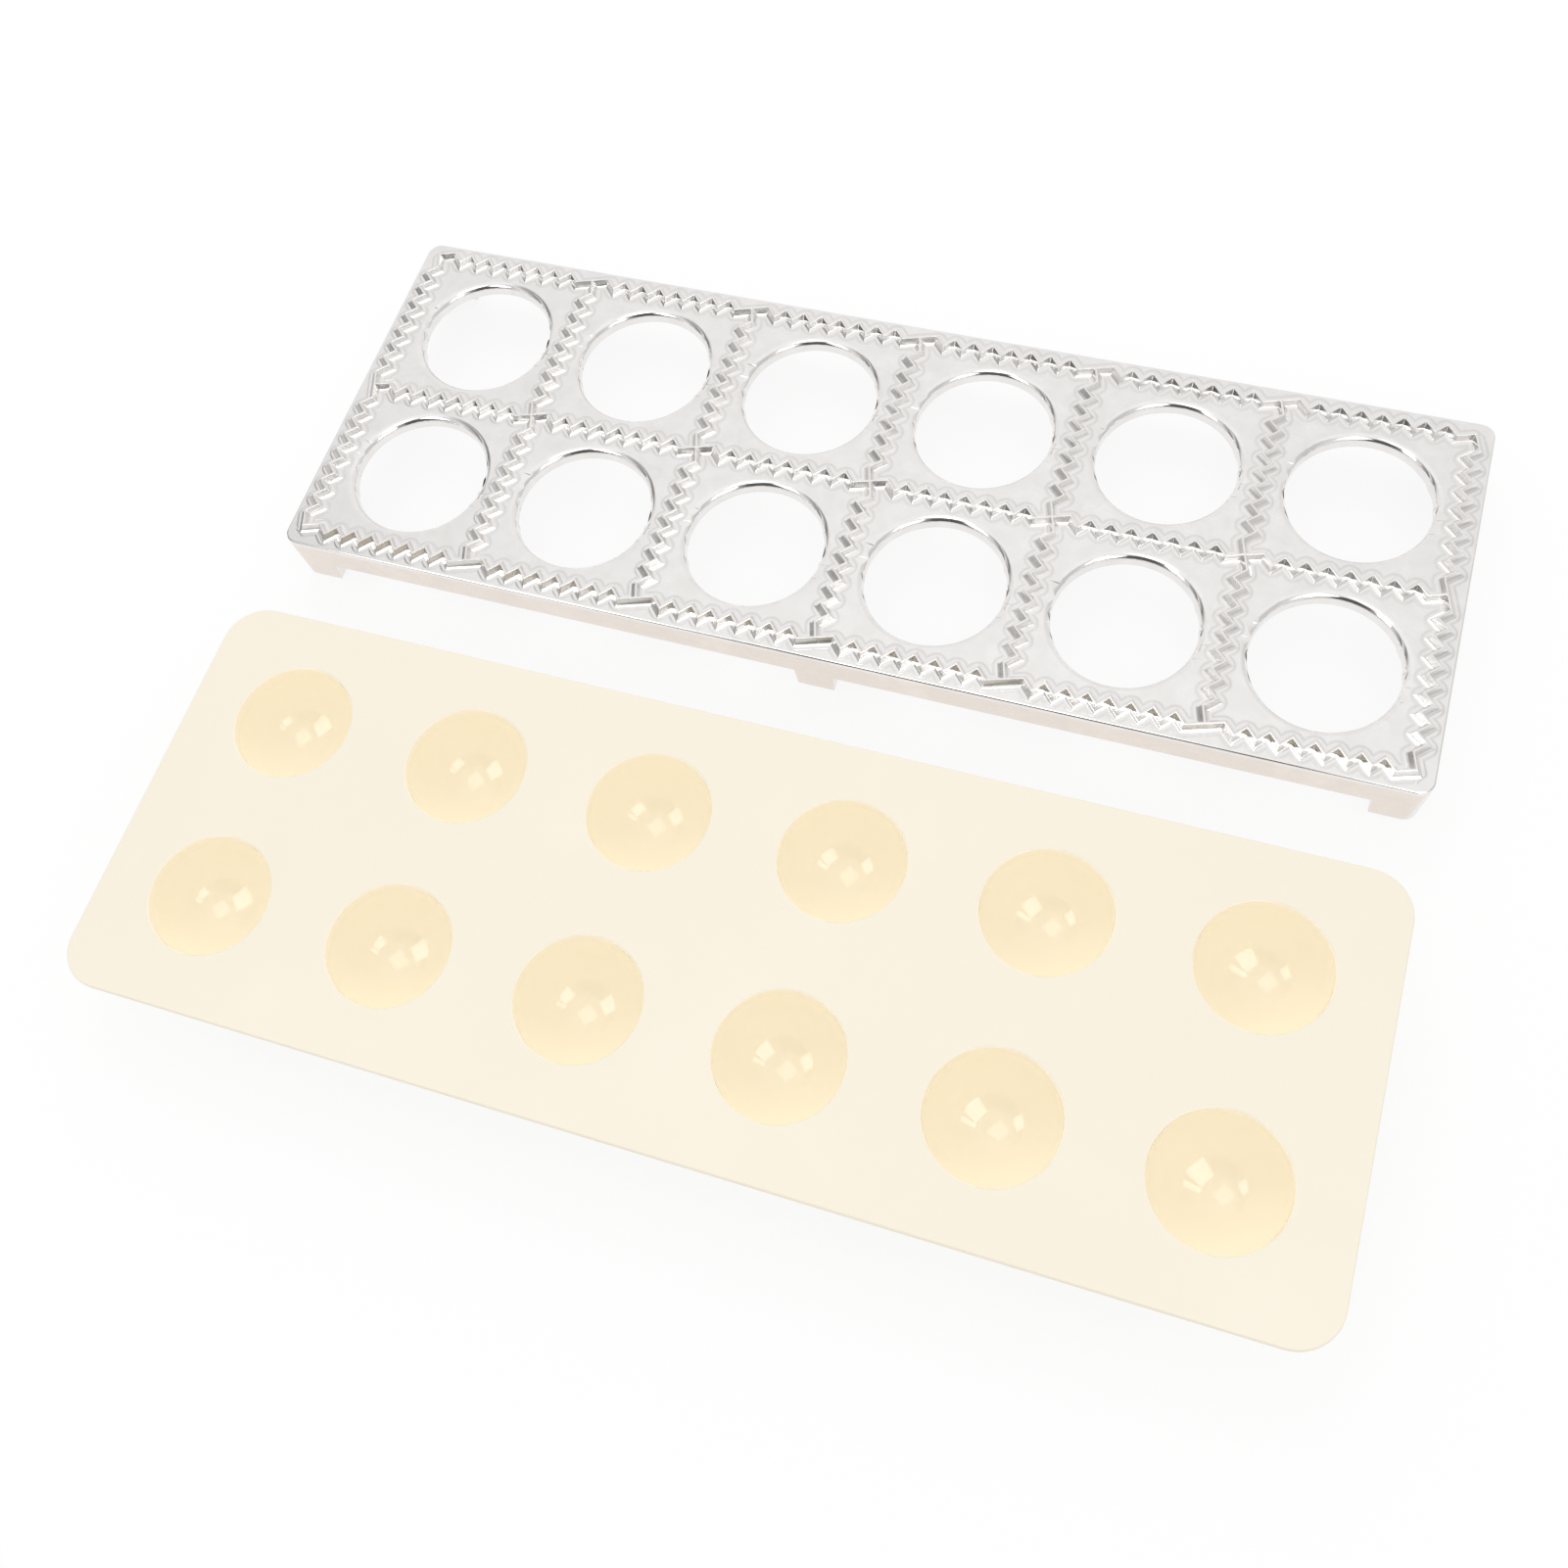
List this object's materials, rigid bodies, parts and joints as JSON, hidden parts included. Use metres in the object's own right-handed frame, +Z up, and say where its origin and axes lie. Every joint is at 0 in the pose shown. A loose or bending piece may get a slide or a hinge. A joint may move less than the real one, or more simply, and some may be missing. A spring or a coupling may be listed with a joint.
{
  "type": "ravioli press",
  "caption": "Ravioli press: a footed cast metal tray with round pocket holes framed by zigzag cutting ridges, and a loose plastic plate of hollow domes that presses dough into the holes.",
  "frame": {"origin": "on the table, under the middle of the pair's bounding box", "axes": "+X along the length of both pieces, +Y from the press plate to the tray, +Z up from the table"},
  "size_m": [0.3104, 0.2434, 0.021],
  "materials": {
    "cast_aluminium": "satin die-cast aluminium with polished hole lips",
    "cream_plastic": "cream moulded plastic, fine matte grain on the flat and glossy in the hollows"
  },
  "bodies": {
    "tray": {"ravioli_tray": "cast_aluminium"},
    "plate": {"press_plate": "cream_plastic"}
  },
  "joints": [
    {"name": "plate_carry", "type": "slide", "parent": "tray", "child": "plate", "axis": [0, 0.9118, 0.4107], "range_m": [0, 0.14609]}
  ]
}
